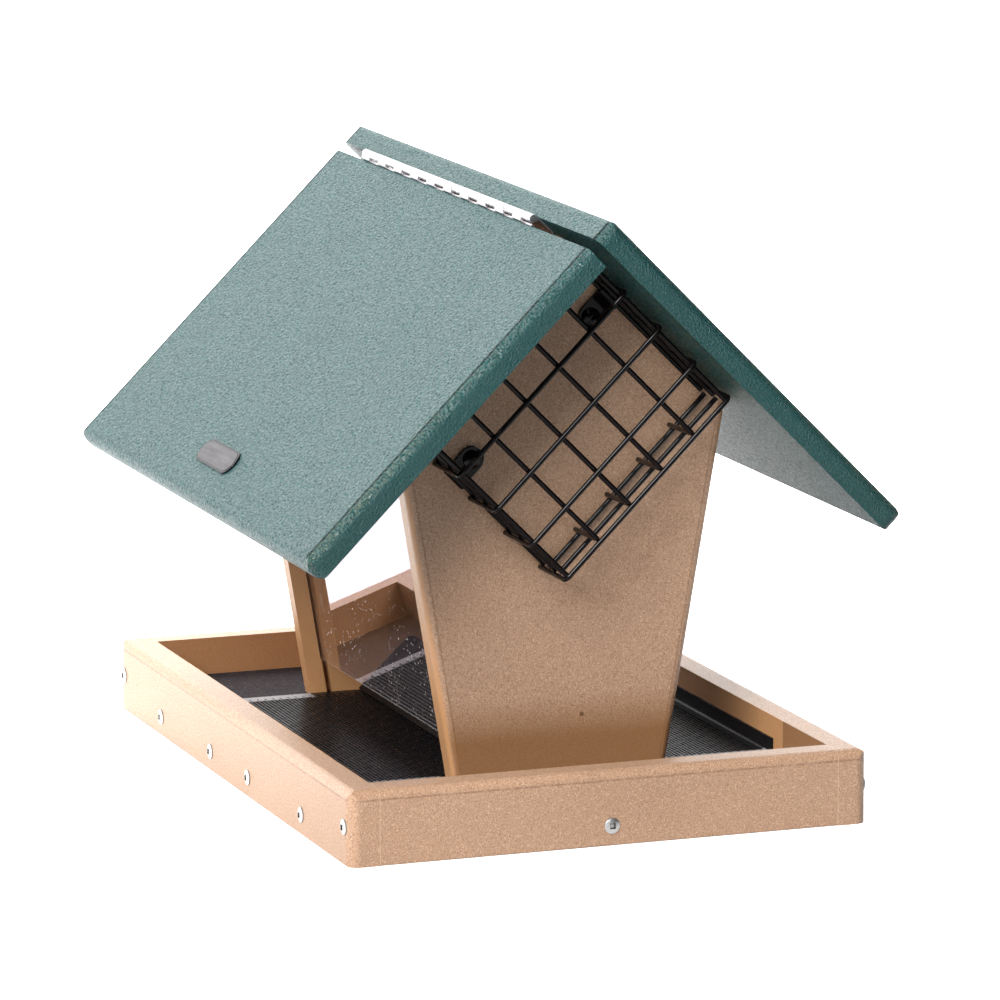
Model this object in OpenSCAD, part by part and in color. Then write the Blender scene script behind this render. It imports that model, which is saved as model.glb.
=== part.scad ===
// Hopper bird feeder with a wire suet basket on each gable.
// X runs across the gables, Y runs along the ridge and Z points up.
// The origin is the middle of the tray's underside, on the surface that the feeder stands on.
// The roof panel on the -X side is the lid. It is drawn closed and opens about the hinge pin.

/* [Tray] */
// Width of the tray across the gables
tray_w = 273; // [255:1:300]
// Length of the tray along the ridge
tray_l = 379; // [370:1:420]
// Height of the tray walls
tray_h = 38; // [32:0.5:60]
// Thickness of the tray walls and floor boards
board_t = 15.9; // [12:0.1:18]
// Rounding of the walls' outer top edges
tray_round = 5; // [2:0.5:7]
// Rounding of the tray's upright corners
tray_corner = 6; // [2:0.5:8]
// Easing of the walls' outer lower edges
tray_ease = 0.8; // [0.4:0.1:2]
// Height of the floor boards' underside above the rest face
floor_lift = 2.2; // [1:0.1:6]
// Reach of each end floor board past the gable's inner face, as a ledge for the pan
floor_ledge = 6; // [3:0.5:12]
// Width of each cross rail under the pan
rail_w = 19; // [12:1:30]
// Distance of each cross rail from the middle of the tray
rail_y = 31; // [20:1:60]
// Distance of the floor boards' side screws from the middle of the tray
floor_screw_y = 116; // [108:1:150]

/* [Seed pan] */
// Thickness of the pan's sheet metal
pan_t = 1; // [0.6:0.1:2]
// Height of the pan's side lips above the floor boards
lip_h = 8.6; // [5:0.1:14]
// Outer radius of the bend between the pan and its lips
lip_bend = 2.5; // [2.2:0.1:4]
// Diameter of a drain hole
drain_d = 7; // [4:0.5:9]
// Spacing of the drain holes
drain_pitch = 14; // [13.5:0.5:24]
// Plain border round the drain holes
drain_border = 9; // [6:1:20]

/* [Gables] */
// Clear length of the seed hopper between the gables
hopper_l = 212.4; // [200:0.2:222]
// Thickness of each gable
gable_t = 12.7; // [10:0.1:14]
// Width of a gable where it stands on the floor
gable_foot_w = 113; // [100:1:125]
// Lean of a gable's side edges from upright
side_lean = 9.65; // [5:0.05:12]
// Height of the gable peak above the rest face
peak_h = 292.3; // [285:0.1:310]
// Rounding of a gable's outer side edges
gable_round = 4.5; // [2:0.5:6]
// Distance of the gables' foot screws from the middle
gable_screw_x = 31; // [15:1:40]

/* [Windows] */
// Thickness of a window sheet
window_t = 2.8; // [2:0.1:3.5]
// Depth of the window grooves in the gables
groove_depth = 6; // [4:0.5:8]
// Distance of a window's middle from the gable's side edge
window_inset = 10.7; // [8:0.1:16]
// Feeding gap between the floor boards and a window's lower edge
feed_gap = 17; // [10:0.5:24]

/* [Roof] */
// Length of both roof panels along the ridge
roof_l = 379; // [370:1:400]
// Thickness of the roof panels
panel_t = 12.7; // [11.5:0.1:15]
// Distance from the ridge line to the lid's eave along the slope
lid_reach = 212; // [200:1:230]
// Distance from the ridge line to the fixed panel's eave along the slope
fixed_reach = 206; // [195:1:225]
// Rounding of the upper eave edges
eave_round = 6; // [2:0.5:7]
// Rounding of the lower eave edges
eave_under_round = 4; // [1:0.5:4]
// Rounding of the panels' upper end edges
rake_round = 5; // [2:0.5:7]
// Rounding of the panels' corners in plan
panel_corner = 5.5; // [2:0.5:8]
// Rounding of the fixed panel's upper ridge edge
ridge_round = 3; // [1:0.5:5]
// Easing of the lid's edge beside the hinge
lid_ease = 0.6; // [0.3:0.1:1]
// Distance of the upper roof screws from the ridge line along the slope
upper_screw_s = 56; // [50:1:66]
// Distance of the lower roof screws from the ridge line along the slope
lower_screw_s = 99; // [84:1:108]

/* [Hinge] */
// Length of the piano hinge
hinge_l = 254; // [200:1:300]
// Distance of the hinge's middle from the middle of the ridge, towards the back
hinge_shift = 18; // [0:1:18]
// Number of knuckles
knuckles = 20; // [12:2:24]
// Width of a hinge leaf from the pin's axis to its free edge
leaf_w = 12.7; // [10:0.1:13]
// Thickness of a hinge leaf
leaf_t = 0.95; // [0.8:0.05:1.1]
// Diameter of the hinge pin
pin_d = 2.3; // [2:0.1:2.6]
// Height of the pin's axis above the lid's outer face
hinge_rise = 1.3; // [1.1:0.1:2]
// Gap between the two roof panels, where the hinge lies
ridge_gap = 5.7; // [5.4:0.1:7]
// Play between a knuckle and the leaf edge across from it
notch_play = 0.6; // [0.4:0.1:1.5]

/* [Suet baskets] */
// Diameter of the basket wire
wire_d = 2.6; // [2:0.1:3]
// Number of cells along the lid
cells_s = 5; // [4:1:6]
// Number of cells square to the lid
cells_t = 4; // [3:1:4]
// Spacing of the wires that run square to the lid
pitch_s = 23.5; // [20:0.1:24]
// Spacing of the wires that run along the lid
pitch_t = 26.24; // [22:0.02:27]
// Depth of a basket from the gable to the middle of its front grid
basket_depth = 36; // [25:0.5:45]
// Gap between a basket's top wires and the lid
basket_lid_gap = 2.3; // [1:0.1:8]
// Gap between a basket's bent wires and the fixed panel
basket_side_gap = 1.6; // [1:0.1:4]
// Middle radius of the bends at the basket's two sides
side_bend = 3; // [2.4:0.1:3.2]
// Middle radius of the bends at the basket's lower side
foot_bend = 2; // [1.8:0.1:2.2]
// Outward splay of the basket's lower side, in degrees
side_splay = 3; // [0:0.5:5]
// Gap between the ends of the basket's wires and the gable
leg_gap = 0.2; // [0.1:0.1:1]
// Height of the side rods' lower ends above the lowest grid wire
side_rod_lift = 0.2; // [0.1:0.1:2]

/* [Basket clips] */
// Width of a clip's strap
clip_w = 12.5; // [9:0.5:14]
// Thickness of a clip's strap
clip_t = 1.2; // [0.8:0.1:1.6]
// Distance from the gripped wire to the lower clip's screw
clip_reach = 12; // [10:0.5:16]
// Distance from the gripped wire to the upper clip's screw
upper_clip_reach = 13.5; // [10:0.5:16]
// Cells of the basket below the two clips
clip_row = 2; // [1:1:2]
// Gap between the lower clip and the side wire beneath it
clip_lift = 6.4; // [2:0.1:6.6]
// Gap between the upper clip and the side wire over it
clip_drop = 1; // [0.6:0.1:5]

/* [Screws] */
// Shank diameter of the board screws
screw_d = 4; // [3:0.1:5]
// Head diameter of the board screws
screw_head_d = 8; // [6.5:0.1:9]
// Height of a board screw's head
screw_head_h = 1.4; // [1:0.1:2.4]
// Length of a board screw under its head
screw_l = 32; // [26:1:36]
// Width of the square recess in a board screw's head
recess_w = 2.9; // [2:0.1:3.2]
// Width of the square recess in a clip screw's head
clip_recess_w = 2.4; // [1.6:0.1:3]
// Width of the square recess in a hinge screw's head
leaf_recess_w = 1.6; // [1.2:0.1:2]
// Shank diameter of the hinge and clip screws
small_screw_d = 2.8; // [2:0.1:3.2]
// Head diameter of the hinge screws
leaf_head_d = 5; // [4:0.1:6]
// Head diameter of the clip screws
clip_head_d = 9.4; // [7:0.1:10]
// Height of a clip screw's head
clip_head_h = 3; // [2:0.1:3.6]
// Length of a hinge or clip screw under its head
small_screw_l = 10; // [8:0.5:11]
// Height of a hinge screw's head
leaf_head_h = 0.8; // [0.5:0.1:1]
// Number of screws in each hinge leaf
leaf_screws = 5; // [3:1:8]

/* [Fits] */
// Radial running gap between the pin and its knuckles
pin_fit = 0.05; // [0.02:0.01:0.1]
// Gap between neighbouring knuckles
knuckle_gap = 0.3; // [0.2:0.05:0.6]
// Gap between the barrel and the face of the fixed panel
barrel_gap = 0.1; // [0.1:0.05:0.4]
// Gap between a window and each side of its groove
window_slip = 0.2; // [0.1:0.05:0.4]
// Gap between the closed lid and the gables under it
lid_rest_gap = 0.2; // [0.1:0.05:0.5]
// Gap round the seed pan in the tray
pan_slip = 0.3; // [0.2:0.05:1]
// Gap between a screw's shank and its hole
screw_fit = 0.05; // [0.02:0.01:0.1]
// Depth that crossing basket wires sink into each other at their welds
weld_sink = 0.4; // [0.2:0.05:0.6]

/* [Hidden] */
$fn = 64;

// A little extra for cuts that run out through a face
over = 1;
// The roof slopes meet at a right angle, so each slope falls at this angle
roof_pitch = 45;
// Shares of a screw head's height: its upright rim, and the floor of its recess
rim_share = 0.3;
recess_share = 0.25;

// Tray
side_x = tray_w / 2 - board_t;
end_y = tray_l / 2 - board_t;
floor_top = floor_lift + board_t;
floor_mid = floor_lift + board_t / 2;

// Gables and windows
gable_in = hopper_l / 2;
gable_out = gable_in + gable_t;
gable_mid = gable_in + gable_t / 2;
foot_x = gable_foot_w / 2;
ledge_y = gable_in - floor_ledge;
groove_w = window_t + 2 * window_slip;
// Height at which a gable's side edge meets the roof's underside
edge_top_z = (peak_h + floor_top * tan(side_lean) - foot_x) / (1 + tan(side_lean));
edge_top_x = peak_h - edge_top_z;
window_half_l = gable_in + groove_depth - window_slip;
// The window's outer upper edge stops just under the roof
window_outer = window_t / 2 - window_inset;
window_bottom = feed_gap / cos(side_lean);
window_top = (edge_top_x - lid_rest_gap * sqrt(2) - foot_x + edge_top_z - floor_top
    - window_outer * (cos(side_lean) - sin(side_lean))) / (cos(side_lean) + sin(side_lean))
    - window_slip;

// Hinge
knuckle_r = pin_d / 2 + pin_fit + leaf_t;
fixed_leaf_x = knuckle_r + barrel_gap;
lid_leaf_x = ridge_gap - fixed_leaf_x;
knuckle_pitch = hinge_l / knuckles;
hinge_start = hinge_shift - hinge_l / 2;
fixed_notch = knuckle_r + notch_play;
// The lid's leaf is cut down level with the lid's face between its knuckles
lid_notch = hinge_rise;
leaf_screw_drop = (leaf_w + fixed_notch) / 2;

// Baskets, measured from the corner of the front grid farthest under the ridge
layer = (wire_d - weld_sink) / 2;
grid_s = cells_s * pitch_s;
grid_t = cells_t * pitch_t;
wire_stub = wire_d / 2;
basket_s = basket_side_gap + wire_d / 2 + 2 * layer;
basket_t = -(basket_lid_gap + wire_stub + grid_t);
clip_bore_r = wire_d / 2 + screw_fit;
rear_row = basket_depth - clip_t - clip_bore_r;
side_rows = [rear_row / 2, rear_row];
leg_end = basket_depth - leg_gap;
lower_clip_t = clip_row * pitch_t + wire_d / 2 + clip_lift + clip_w / 2;
upper_clip_t = (clip_row + 1) * pitch_t - wire_d / 2 - clip_drop - clip_w / 2;
// The wire swells a little where a splayed leg leaves its bend
bend_swell = 0.1;

// Colours
tan_board = [0.76, 0.62, 0.48];
green_board = [0.42, 0.56, 0.54];
dark_board = [0.24, 0.24, 0.26];
black_metal = [0.10, 0.10, 0.11];
bright_metal = [0.78, 0.78, 0.80];
dark_screw = [0.24, 0.22, 0.20];
clear_sheet = [0.85, 0.90, 0.92, 0.4];

// Frames

// The fixed panel's slope: X runs down the slope, Z points out of the roof
module fixed_slope() {
    translate([0, 0, peak_h])
        rotate([0, roof_pitch, 0])
            children();
}

// The lid's slope, the same way on the other side
module lid_slope() {
    mirror([1, 0, 0])
        fixed_slope()
            children();
}

// The pin's axis, in the lid's slope
module at_pin() {
    lid_slope()
        translate([fixed_leaf_x, 0, panel_t + hinge_rise])
            children();
}

// A gable's right side edge: Z runs up the edge, X points outwards
module side_edge() {
    translate([foot_x, 0, floor_top])
        rotate([0, side_lean, 0])
            children();
}

// The front basket's grid: X runs down the lid, Z up to the lid, Y towards the gable
module at_basket() {
    lid_slope()
        translate([basket_s, -gable_out - basket_depth, basket_t])
            children();
}

module on_both_sides() {
    children();
    mirror([1, 0, 0])
        children();
}

module at_back() {
    mirror([0, 1, 0])
        children();
}

// Outlines

// What a rounding takes off a corner at the origin whose solid lies towards -X and -Y
module corner_cut(r) {
    difference() {
        translate([-r, -r])
            square(2 * r);
        translate([-r, -r])
            circle(r);
    }
}

// A rectangle from the origin, with its two far X corners rounded
module end_rounded(x, y, r_low, r_high) {
    difference() {
        square([x, y]);
        translate([x, y])
            corner_cut(r_high);
        translate([x, 0])
            mirror([0, 1])
                corner_cut(r_low);
    }
}

// A length of l along Y of an outline drawn in X and Z, centred on Y
module along_y(l) {
    translate([0, l / 2, 0])
        rotate([90, 0, 0])
            linear_extrude(l)
                children();
}

// A length of l along X of an outline drawn in Y and Z, from X = 0
module along_x(l) {
    rotate([90, 0, 90])
        linear_extrude(l)
            children();
}

// Screws

// A round-headed screw with a square recess, its head's underside at the origin
module screw(d, l, head_d, head_h, recess) {
    rim = head_h * rim_share;
    dome_r = (pow(head_d / 2, 2) + pow(head_h - rim, 2)) / (2 * (head_h - rim));
    difference() {
        intersection() {
            cylinder(h = head_h, d = head_d);
            translate([0, 0, head_h - dome_r])
                sphere(dome_r);
        }
        translate([-recess / 2, -recess / 2, head_h * recess_share])
            cube([recess, recess, head_h]);
    }
    translate([0, 0, -l])
        cylinder(h = l, d = d);
}

// The hole that a screw's shank takes
module screw_hole(d, l) {
    translate([0, 0, -l - screw_fit])
        cylinder(h = l + screw_fit + over, d = d + 2 * screw_fit);
}

module board_screw() {
    screw(screw_d, screw_l, screw_head_d, screw_head_h, recess_w);
}

// Screws through the right tray wall: two into the end walls, four into the floor
module at_side_screws() {
    for (y = [-1, 1])
        translate([tray_w / 2, y * (tray_l - board_t) / 2, tray_h / 2])
            rotate([0, 90, 0])
                children();
    for (y = [-floor_screw_y, -rail_y, rail_y, floor_screw_y])
        translate([tray_w / 2, y, floor_mid])
            rotate([0, 90, 0])
                children();
}

// The screw through the front wall into its floor board
module at_front_screw() {
    translate([0, -tray_l / 2, floor_mid])
        rotate([90, 0, 0])
            children();
}

// Screws up through the front floor board into the gable
module at_gable_screws() {
    for (x = [-1, 1])
        translate([x * gable_screw_x, -gable_mid, floor_lift])
            rotate([180, 0, 0])
                children();
}

// Screws through the fixed panel into the front gable
module at_roof_screws() {
    fixed_slope()
        for (s = [upper_screw_s, lower_screw_s])
            translate([s, -gable_mid, panel_t])
                children();
}

// Screws through a hinge leaf whose back lies x before the pin's axis
module at_leaf_screws(x) {
    for (i = [0 : leaf_screws - 1])
        translate([leaf_t - x, hinge_start + hinge_l * (i + 0.5) / leaf_screws, -leaf_screw_drop])
            rotate([0, 90, 0])
                children();
}

// A screw through the front basket's clip, s down the lid and t up from the lowest wire
module at_clip_screw(s, t) {
    at_basket()
        translate([s, basket_depth - 2 * clip_t, t])
            rotate([90, 0, 0])
                children();
}

// Screws through the front basket's two clips
module at_clip_screws() {
    at_clip_screw(upper_clip_reach, upper_clip_t)
        children();
    at_clip_screw(grid_s - clip_reach, lower_clip_t)
        children();
}

// Tray

module tray_side_right() {
    color(tan_board)
        difference() {
            translate([side_x, 0, 0])
                intersection() {
                    translate([0, -tray_l / 2, 0])
                        linear_extrude(tray_h)
                            end_rounded(board_t, tray_l, tray_corner, tray_corner);
                    along_y(tray_l)
                        end_rounded(board_t, tray_h, tray_ease, tray_round);
                    along_x(board_t)
                        tray_length_outline();
                }
            at_side_screws()
                screw_hole(screw_d, screw_l);
        }
}

// The tray wall seen from the side, its upper end corners rounded
module tray_length_outline() {
    difference() {
        translate([-tray_l / 2, 0])
            square([tray_l, tray_h]);
        translate([tray_l / 2, tray_h])
            corner_cut(tray_round);
        mirror([1, 0])
            translate([tray_l / 2, tray_h])
                corner_cut(tray_round);
    }
}

module tray_side_left() {
    mirror([1, 0, 0])
        tray_side_right();
}

module tray_end_front() {
    color(tan_board)
        difference() {
            translate([-side_x, 0, 0])
                along_x(2 * side_x)
                    translate([-end_y, 0])
                        mirror([1, 0])
                            end_rounded(board_t, tray_h, tray_ease, tray_round);
            on_both_sides()
                at_side_screws()
                    screw_hole(screw_d, screw_l);
            at_front_screw()
                screw_hole(screw_d, screw_l);
        }
}

module tray_end_back() {
    at_back()
        tray_end_front();
}

module floor_board_front() {
    color(dark_board)
        difference() {
            translate([-side_x, -end_y, floor_lift])
                cube([2 * side_x, end_y - ledge_y, board_t]);
            on_both_sides()
                at_side_screws()
                    screw_hole(screw_d, screw_l);
            at_front_screw()
                screw_hole(screw_d, screw_l);
            at_gable_screws()
                gable_screw_hole();
        }
}

// The gable screws' heads are sunk into the floor board's underside
module gable_screw_hole() {
    translate([0, 0, -screw_head_h - screw_fit])
        cylinder(h = screw_head_h + screw_fit + over, d = screw_head_d + 4 * screw_fit);
    translate([0, 0, -screw_head_h])
        screw_hole(screw_d, screw_l);
}

module floor_board_back() {
    at_back()
        floor_board_front();
}

module pan_rail_front() {
    color(tan_board)
        difference() {
            translate([-side_x, -rail_y - rail_w / 2, floor_lift])
                cube([2 * side_x, rail_w, board_t]);
            on_both_sides()
                at_side_screws()
                    screw_hole(screw_d, screw_l);
        }
}

module pan_rail_back() {
    at_back()
        pan_rail_front();
}

// Seed pan: a sheet with bent-up side lips and staggered drain holes

module seed_pan() {
    half_w = side_x - pan_slip;
    half_l = gable_in - pan_slip;
    flat_half = half_w - lip_bend;
    color(black_metal)
        translate([0, 0, floor_top]) {
            linear_extrude(pan_t)
                difference() {
                    square([2 * flat_half, 2 * half_l], center = true);
                    drain_holes(flat_half - drain_border, half_l - drain_border);
                }
            on_both_sides()
                along_y(2 * half_l)
                    lip_outline(flat_half);
        }
}

// One lip with its bend, starting at the edge of the flat sheet
module lip_outline(x) {
    inner_bend = lip_bend - pan_t;
    intersection() {
        translate([x, lip_bend])
            difference() {
                circle(lip_bend);
                circle(inner_bend);
            }
        translate([x, 0])
            square(lip_bend);
    }
    translate([x + inner_bend, lip_bend])
        square([pan_t, lip_h - lip_bend]);
}

// Staggered rows of holes inside a half width and half length
module drain_holes(half_x, half_y) {
    row_pitch = drain_pitch * sin(60);
    rows = floor((half_y - drain_d / 2) / row_pitch);
    for (row = [-rows : rows]) {
        shift = abs(row) % 2 == 1 ? 0.5 : 0;
        last = floor((half_x - drain_d / 2) / drain_pitch - shift);
        for (i = [-last - 2 * shift : last])
            translate([(i + shift) * drain_pitch, row * row_pitch])
                circle(d = drain_d);
    }
}

// Gables

// The room between the floor and the roof, a little wider than the gable.
// Its slope under the lid stands off by the rest gap.
module roof_outline() {
    w = edge_top_x + gable_t;
    lean_gap = lid_rest_gap / sqrt(2);
    polygon([
        [-w, floor_top],
        [w, floor_top],
        [w, peak_h - w],
        [lean_gap, peak_h - lean_gap],
        [-w, peak_h - 2 * lean_gap - w]
    ]);
}

// What lies inside the right side edge, with the gable's thickness and its rounded outer edge
module inside_side_edge() {
    side_edge()
        translate([0, 0, -gable_foot_w])
            linear_extrude(peak_h + gable_foot_w)
                difference() {
                    translate([-peak_h, -gable_out])
                        square([peak_h, gable_t]);
                    translate([0, -gable_out])
                        mirror([0, 1])
                            corner_cut(gable_round);
                }
}

module gable_front() {
    color(tan_board)
        difference() {
            intersection() {
                translate([0, -gable_mid, 0])
                    along_y(gable_t + 2 * over)
                        roof_outline();
                inside_side_edge();
                mirror([1, 0, 0])
                    inside_side_edge();
            }
            on_both_sides()
                side_edge()
                    window_groove();
            at_gable_screws()
                translate([0, 0, -screw_head_h])
                    screw_hole(screw_d, screw_l);
            at_roof_screws()
                screw_hole(screw_d, screw_l);
            at_clip_screws()
                screw_hole(small_screw_d, small_screw_l);
        }
}

// The groove runs the whole height of the gable's inner face
module window_groove() {
    translate([-window_inset - groove_w / 2, -gable_in - groove_depth, -groove_depth])
        cube([groove_w, groove_depth + over, peak_h]);
}

module gable_back() {
    at_back()
        gable_front();
}

// Windows

module window_right() {
    color(clear_sheet)
        side_edge()
            translate([-window_inset - window_t / 2, -window_half_l, window_bottom])
                cube([window_t, 2 * window_half_l, window_top - window_bottom]);
}

module window_left() {
    mirror([1, 0, 0])
        window_right();
}

// Roof

// A roof panel from s0 to s1 down its slope, with its eave and ends rounded.
// The roundings by the ridge are given: its upper edge and its two corners in plan.
module panel(s0, s1, top_round, top_corner) {
    intersection() {
        along_y(roof_l)
            translate([s0, 0])
                difference() {
                    end_rounded(s1 - s0, panel_t, eave_under_round, eave_round);
                    translate([0, panel_t])
                        mirror([1, 0])
                            corner_cut(top_round);
                }
        translate([s0, 0, 0])
            along_x(s1 - s0)
                panel_length_outline();
        translate([s0, -roof_l / 2, 0])
            linear_extrude(panel_t)
                difference() {
                    end_rounded(s1 - s0, roof_l, panel_corner, panel_corner);
                    mirror([1, 0])
                        translate([0, roof_l])
                            corner_cut(top_corner);
                    mirror([1, 0])
                        mirror([0, 1])
                            corner_cut(top_corner);
                }
    }
}

module panel_length_outline() {
    difference() {
        translate([-roof_l / 2, 0])
            square([roof_l, panel_t]);
        for (side = [0, 1])
            mirror([side, 0])
                translate([roof_l / 2, panel_t])
                    corner_cut(rake_round);
    }
}

module roof_fixed() {
    color(green_board)
        difference() {
            fixed_slope()
                panel(-panel_t, fixed_reach, ridge_round, panel_corner);
            at_roof_screws()
                screw_hole(screw_d, screw_l);
            at_back()
                at_roof_screws()
                    screw_hole(screw_d, screw_l);
            at_pin()
                at_leaf_screws(fixed_leaf_x)
                    screw_hole(small_screw_d, small_screw_l);
        }
}

module roof_lid() {
    color(green_board)
        difference() {
            lid_slope()
                panel(ridge_gap, lid_reach, lid_ease, lid_ease);
            at_pin()
                mirror([1, 0, 0])
                    at_leaf_screws(lid_leaf_x)
                        screw_hole(small_screw_d, small_screw_l);
        }
}

// Piano hinge

// A leaf whose back lies x before the pin's axis, with every other knuckle from the first or second
module hinge_leaf(first, x, notch) {
    color(bright_metal)
        difference() {
            union() {
                translate([-x, hinge_start, -leaf_w])
                    cube([leaf_t, hinge_l, leaf_w - notch]);
                for (i = [first : 2 : knuckles - 1])
                    translate([0, hinge_start + i * knuckle_pitch + knuckle_pitch / 2, 0])
                        along_y(knuckle_pitch - knuckle_gap)
                            knuckle_outline(x, notch);
            }
            translate([0, hinge_start - over, 0])
                rotate([-90, 0, 0])
                    cylinder(h = hinge_l + 2 * over, d = pin_d + 2 * pin_fit);
            at_leaf_screws(x)
                screw_hole(small_screw_d, small_screw_l);
        }
}

// A rolled knuckle and the tab that rises from the leaf and runs over onto it
module knuckle_outline(x, notch) {
    inside = 0.6 * knuckle_r;
    circle(knuckle_r);
    polygon([
        [-x, -notch - over],
        [-x, 0],
        [-inside, inside],
        [0, 0],
        [leaf_t - x, -leaf_t],
        [leaf_t - x, -notch - over]
    ]);
}

module hinge_leaf_fixed() {
    at_pin()
        hinge_leaf(0, fixed_leaf_x, fixed_notch);
}

module hinge_leaf_lid() {
    at_pin()
        mirror([1, 0, 0])
            hinge_leaf(1, lid_leaf_x, lid_notch);
}

module hinge_pin() {
    color(bright_metal)
        at_pin()
            translate([0, hinge_start, 0])
                rotate([-90, 0, 0])
                    cylinder(h = hinge_l, d = pin_d);
}

// Suet baskets of welded wire

module rod(l) {
    cylinder(h = l, d = wire_d);
}

// A bend about the origin in the X and Y plane, from the +X side round towards +Y
module bend(r, angle) {
    rotate_extrude(angle = angle)
        translate([r, 0])
            circle(d = wire_d);
}

// A straight wire of length l along X that bends back towards the gable at both ends
module cross_wire(y) {
    leg_start = y + side_bend;
    reach = 2 * layer;
    translate([-reach + side_bend, y, 0])
        rotate([0, 90, 0])
            rod(grid_s + 2 * reach - 2 * side_bend);
    for (side = [0, 1])
        translate([side * grid_s, 0, 0])
            mirror([side, 0, 0])
                translate([-reach, leg_start, 0]) {
                    rotate([-90, 0, 0])
                        rod(leg_end - leg_start);
                    translate([side_bend, 0, 0])
                        rotate([0, 0, 180])
                            bend(side_bend, 90);
                }
}

// A wire square to the lid that bends back towards the gable at its lower end
module upright_wire(bent) {
    leg_z = layer;
    bottom = bent ? leg_z + foot_bend : -wire_stub;
    translate([0, layer, bottom])
        rod(grid_t + wire_stub - bottom);
    if (bent)
        translate([0, layer + foot_bend, leg_z + foot_bend]) {
            rotate([0, 90, 0])
                rotate([0, 0, -90])
                    bend(foot_bend, 90 - side_splay);
            rotate([-side_splay, 0, 0])
                translate([0, 0, -foot_bend]) {
                    sphere(d = wire_d + bend_swell);
                    rotate([-90, 0, 0])
                        rod((leg_end - layer - foot_bend) / cos(side_splay));
                }
        }
}

module basket() {
    color(black_metal)
        at_basket() {
            cross_wire(0);
            for (k = [1 : cells_t])
                translate([0, 0, k * pitch_t])
                    cross_wire(-layer);
            for (i = [0 : cells_s])
                translate([i * pitch_s, 0, 0])
                    upright_wire(i > 0 && i < cells_s);
            for (y = side_rows) {
                for (s = [0, grid_s])
                    translate([s, y, side_rod_lift])
                        rod(grid_t + wire_stub - side_rod_lift);
                translate([0, y, -layer - (y - layer - foot_bend) * tan(side_splay)])
                    rotate([0, 90, 0])
                        rod(grid_s);
            }
        }
}

module basket_front() {
    basket();
}

module basket_back() {
    at_back()
        basket();
}

// A strap looped round the basket's rearmost side wire and lying back on the gable.
// Its screw stands a distance of reach from the wire.
module clip(reach) {
    ring_r = clip_bore_r + clip_t;
    color(black_metal)
        difference() {
            intersection() {
                translate([0, 0, -clip_w / 2])
                    linear_extrude(clip_w)
                        difference() {
                            union() {
                                translate([0, rear_row])
                                    circle(ring_r);
                                translate([0, basket_depth - 2 * clip_t])
                                    square([reach + clip_w / 2, 2 * clip_t]);
                            }
                            translate([0, rear_row])
                                circle(clip_bore_r);
                        }
                rotate([-90, 0, 0])
                    linear_extrude(basket_depth)
                        union() {
                            translate([reach, 0])
                                circle(d = clip_w);
                            translate([-ring_r, -clip_w / 2])
                                square([reach + ring_r, clip_w]);
                        }
            }
            translate([reach, basket_depth + over, 0])
                rotate([90, 0, 0])
                    cylinder(h = 2 * clip_t + 2 * over, d = small_screw_d + 2 * screw_fit);
        }
}

module basket_clips_front() {
    at_basket() {
        translate([0, 0, upper_clip_t])
            clip(upper_clip_reach);
        translate([grid_s, 0, lower_clip_t])
            mirror([1, 0, 0])
                clip(clip_reach);
    }
}

module basket_clips_back() {
    at_back()
        basket_clips_front();
}

// Screws

module clip_screws_front() {
    color(black_metal)
        at_clip_screws()
            screw(small_screw_d, small_screw_l, clip_head_d, clip_head_h, clip_recess_w);
}

module clip_screws_back() {
    at_back()
        clip_screws_front();
}

module tray_screws_right() {
    color(dark_screw)
        at_side_screws()
            board_screw();
}

module tray_screws_left() {
    mirror([1, 0, 0])
        tray_screws_right();
}

module tray_screws_front() {
    color(dark_screw)
        at_front_screw()
            board_screw();
}

module tray_screws_back() {
    at_back()
        tray_screws_front();
}

module gable_screws() {
    color(dark_screw)
        for (side = [0, 1])
            mirror([0, side, 0])
                at_gable_screws()
                    translate([0, 0, -screw_head_h])
                        board_screw();
}

module roof_screws() {
    color(dark_screw)
        for (side = [0, 1])
            mirror([0, side, 0])
                at_roof_screws()
                    board_screw();
}

module leaf_screw() {
    screw(small_screw_d, small_screw_l, leaf_head_d, leaf_head_h, leaf_recess_w);
}

module hinge_screws_fixed() {
    color(bright_metal)
        at_pin()
            at_leaf_screws(fixed_leaf_x)
                leaf_screw();
}

module hinge_screws_lid() {
    color(bright_metal)
        at_pin()
            mirror([1, 0, 0])
                at_leaf_screws(lid_leaf_x)
                    leaf_screw();
}

tray_side_left();
tray_side_right();
tray_end_front();
tray_end_back();
floor_board_front();
floor_board_back();
pan_rail_front();
pan_rail_back();
seed_pan();
gable_front();
gable_back();
window_left();
window_right();
roof_fixed();
roof_lid();
hinge_leaf_fixed();
hinge_leaf_lid();
hinge_pin();
basket_front();
basket_back();
basket_clips_front();
basket_clips_back();
clip_screws_front();
clip_screws_back();
tray_screws_left();
tray_screws_right();
tray_screws_front();
tray_screws_back();
gable_screws();
roof_screws();
hinge_screws_fixed();
hinge_screws_lid();
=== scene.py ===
import math
import bmesh
import bpy
from mathutils import Matrix, Vector


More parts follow.
